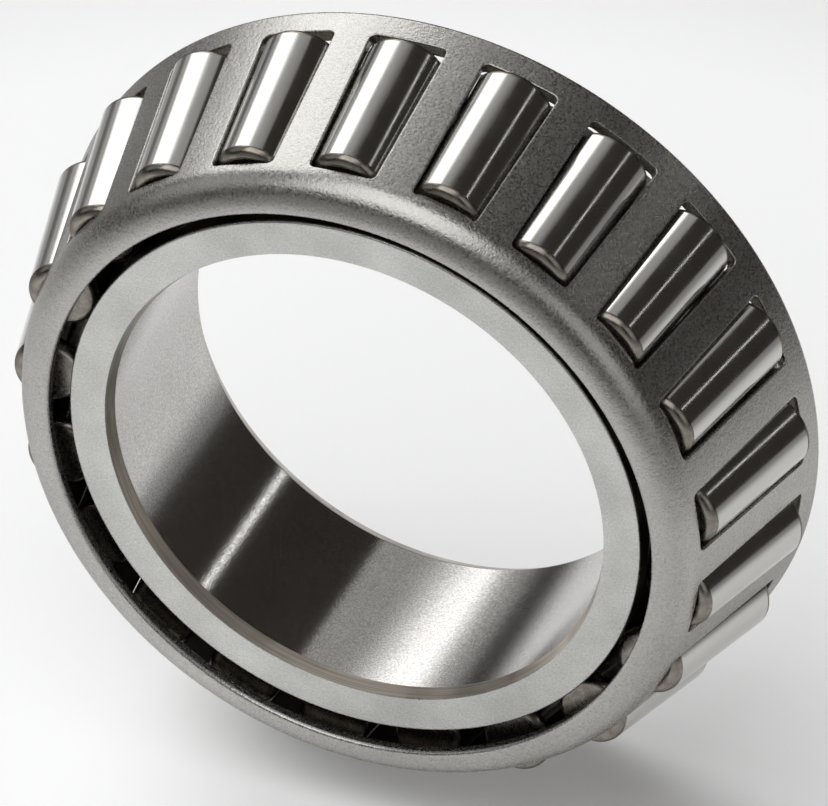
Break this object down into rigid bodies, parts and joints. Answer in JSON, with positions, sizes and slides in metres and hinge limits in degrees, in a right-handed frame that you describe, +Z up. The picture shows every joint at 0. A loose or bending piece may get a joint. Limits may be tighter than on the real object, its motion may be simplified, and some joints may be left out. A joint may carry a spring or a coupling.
{
  "type": "tapered roller bearing",
  "caption": "Inner-ring assembly of a single-row tapered roller bearing: ring with a plain bore, pressed steel cage, and tapered rollers that roll on its raceway.",
  "frame": {"origin": "on the bearing's axis at the middle of the inner ring's width", "axes": "+Y along the bearing's axis, from the small end of the rollers to the large end; +Z up; +X to the right when the small-end face is seen from the front"},
  "size_m": [0.0709, 0.0213, 0.0709],
  "materials": {
    "ring_steel": "hardened bearing steel, finely ground",
    "cage_steel": "pressed mild steel, tumbled to a matt grain",
    "roller_steel": "hardened bearing steel, superfinished and bright"
  },
  "bodies": {
    "inner_ring": {"inner_ring": "ring_steel"},
    "cage": {"cage": "cage_steel"},
    "roller_01": {"roller_01": "roller_steel"},
    "roller_02": {"roller_02": "roller_steel"},
    "roller_03": {"roller_03": "roller_steel"},
    "roller_04": {"roller_04": "roller_steel"},
    "roller_05": {"roller_05": "roller_steel"},
    "roller_06": {"roller_06": "roller_steel"},
    "roller_07": {"roller_07": "roller_steel"},
    "roller_08": {"roller_08": "roller_steel"},
    "roller_09": {"roller_09": "roller_steel"},
    "roller_10": {"roller_10": "roller_steel"},
    "roller_11": {"roller_11": "roller_steel"},
    "roller_12": {"roller_12": "roller_steel"},
    "roller_13": {"roller_13": "roller_steel"},
    "roller_14": {"roller_14": "roller_steel"},
    "roller_15": {"roller_15": "roller_steel"},
    "roller_16": {"roller_16": "roller_steel"},
    "roller_17": {"roller_17": "roller_steel"},
    "roller_18": {"roller_18": "roller_steel"},
    "roller_19": {"roller_19": "roller_steel"},
    "roller_20": {"roller_20": "roller_steel"},
    "roller_21": {"roller_21": "roller_steel"}
  },
  "joints": [
    {"name": "cage_spin", "type": "hinge", "parent": "inner_ring", "child": "cage", "pos_m": [0, 0, 0], "axis": [0, 1, 0], "continuous": true},
    {"name": "roller_01_spin", "type": "hinge", "parent": "cage", "child": "roller_01", "pos_m": [-0.0015, -0.00069, 0.03064], "axis": [-0.0109, 0.9751, 0.2213], "continuous": true},
    {"name": "roller_02_spin", "type": "hinge", "parent": "cage", "child": "roller_02", "pos_m": [0.00759, -0.00069, 0.02972], "axis": [0.0548, 0.9751, 0.2147], "continuous": true},
    {"name": "roller_03_spin", "type": "hinge", "parent": "cage", "child": "roller_03", "pos_m": [0.01602, -0.00069, 0.02616], "axis": [0.1157, 0.9751, 0.189], "continuous": true},
    {"name": "roller_04_spin", "type": "hinge", "parent": "cage", "child": "roller_04", "pos_m": [0.02302, -0.00069, 0.02028], "axis": [0.1662, 0.9751, 0.1465], "continuous": true},
    {"name": "roller_05_spin", "type": "hinge", "parent": "cage", "child": "roller_05", "pos_m": [0.02797, -0.00069, 0.01259], "axis": [0.202, 0.9751, 0.091], "continuous": true},
    {"name": "roller_06_spin", "type": "hinge", "parent": "cage", "child": "roller_06", "pos_m": [0.03044, -0.00069, 0.00379], "axis": [0.2199, 0.9751, 0.0274], "continuous": true},
    {"name": "roller_07_spin", "type": "hinge", "parent": "cage", "child": "roller_07", "pos_m": [0.0302, -0.00069, -0.00535], "axis": [0.2182, 0.9751, -0.0387], "continuous": true},
    {"name": "roller_08_spin", "type": "hinge", "parent": "cage", "child": "roller_08", "pos_m": [0.02728, -0.00069, -0.01402], "axis": [0.1971, 0.9751, -0.1012], "continuous": true},
    {"name": "roller_09_spin", "type": "hinge", "parent": "cage", "child": "roller_09", "pos_m": [0.02194, -0.00069, -0.02144], "axis": [0.1585, 0.9751, -0.1548], "continuous": true},
    {"name": "roller_10_spin", "type": "hinge", "parent": "cage", "child": "roller_10", "pos_m": [0.01465, -0.00069, -0.02695], "axis": [0.1058, 0.9751, -0.1947], "continuous": true},
    {"name": "roller_11_spin", "type": "hinge", "parent": "cage", "child": "roller_11", "pos_m": [0.00605, -0.00069, -0.03007], "axis": [0.0437, 0.9751, -0.2172], "continuous": true},
    {"name": "roller_12_spin", "type": "hinge", "parent": "cage", "child": "roller_12", "pos_m": [-0.00308, -0.00069, -0.03052], "axis": [-0.0222, 0.9751, -0.2204], "continuous": true},
    {"name": "roller_13_spin", "type": "hinge", "parent": "cage", "child": "roller_13", "pos_m": [-0.01194, -0.00069, -0.02825], "axis": [-0.0862, 0.9751, -0.2041], "continuous": true},
    {"name": "roller_14_spin", "type": "hinge", "parent": "cage", "child": "roller_14", "pos_m": [-0.01974, -0.00069, -0.02348], "axis": [-0.1425, 0.9751, -0.1696], "continuous": true},
    {"name": "roller_15_spin", "type": "hinge", "parent": "cage", "child": "roller_15", "pos_m": [-0.02578, -0.00069, -0.01662], "axis": [-0.1862, 0.9751, -0.12], "continuous": true},
    {"name": "roller_16_spin", "type": "hinge", "parent": "cage", "child": "roller_16", "pos_m": [-0.02953, -0.00069, -0.00828], "axis": [-0.2133, 0.9751, -0.0598], "continuous": true},
    {"name": "roller_17_spin", "type": "hinge", "parent": "cage", "child": "roller_17", "pos_m": [-0.03066, -0.00069, 0.00079], "axis": [-0.2215, 0.9751, 0.0057], "continuous": true},
    {"name": "roller_18_spin", "type": "hinge", "parent": "cage", "child": "roller_18", "pos_m": [-0.02907, -0.00069, 0.00979], "axis": [-0.21, 0.9751, 0.0707], "continuous": true},
    {"name": "roller_19_spin", "type": "hinge", "parent": "cage", "child": "roller_19", "pos_m": [-0.02489, -0.00069, 0.01793], "axis": [-0.1798, 0.9751, 0.1295], "continuous": true},
    {"name": "roller_20_spin", "type": "hinge", "parent": "cage", "child": "roller_20", "pos_m": [-0.0185, -0.00069, 0.02447], "axis": [-0.1336, 0.9751, 0.1767], "continuous": true},
    {"name": "roller_21_spin", "type": "hinge", "parent": "cage", "child": "roller_21", "pos_m": [-0.01047, -0.00069, 0.02883], "axis": [-0.0756, 0.9751, 0.2082], "continuous": true}
  ],
  "couplings": [
    {"joint": "roller_01_spin", "follows": "cage_spin", "ratio": 8.09},
    {"joint": "roller_02_spin", "follows": "cage_spin", "ratio": 8.09},
    {"joint": "roller_03_spin", "follows": "cage_spin", "ratio": 8.09},
    {"joint": "roller_04_spin", "follows": "cage_spin", "ratio": 8.09},
    {"joint": "roller_05_spin", "follows": "cage_spin", "ratio": 8.09},
    {"joint": "roller_06_spin", "follows": "cage_spin", "ratio": 8.09},
    {"joint": "roller_07_spin", "follows": "cage_spin", "ratio": 8.09},
    {"joint": "roller_08_spin", "follows": "cage_spin", "ratio": 8.09},
    {"joint": "roller_09_spin", "follows": "cage_spin", "ratio": 8.09},
    {"joint": "roller_10_spin", "follows": "cage_spin", "ratio": 8.09},
    {"joint": "roller_11_spin", "follows": "cage_spin", "ratio": 8.09},
    {"joint": "roller_12_spin", "follows": "cage_spin", "ratio": 8.09},
    {"joint": "roller_13_spin", "follows": "cage_spin", "ratio": 8.09},
    {"joint": "roller_14_spin", "follows": "cage_spin", "ratio": 8.09},
    {"joint": "roller_15_spin", "follows": "cage_spin", "ratio": 8.09},
    {"joint": "roller_16_spin", "follows": "cage_spin", "ratio": 8.09},
    {"joint": "roller_17_spin", "follows": "cage_spin", "ratio": 8.09},
    {"joint": "roller_18_spin", "follows": "cage_spin", "ratio": 8.09},
    {"joint": "roller_19_spin", "follows": "cage_spin", "ratio": 8.09},
    {"joint": "roller_20_spin", "follows": "cage_spin", "ratio": 8.09},
    {"joint": "roller_21_spin", "follows": "cage_spin", "ratio": 8.09}
  ]
}
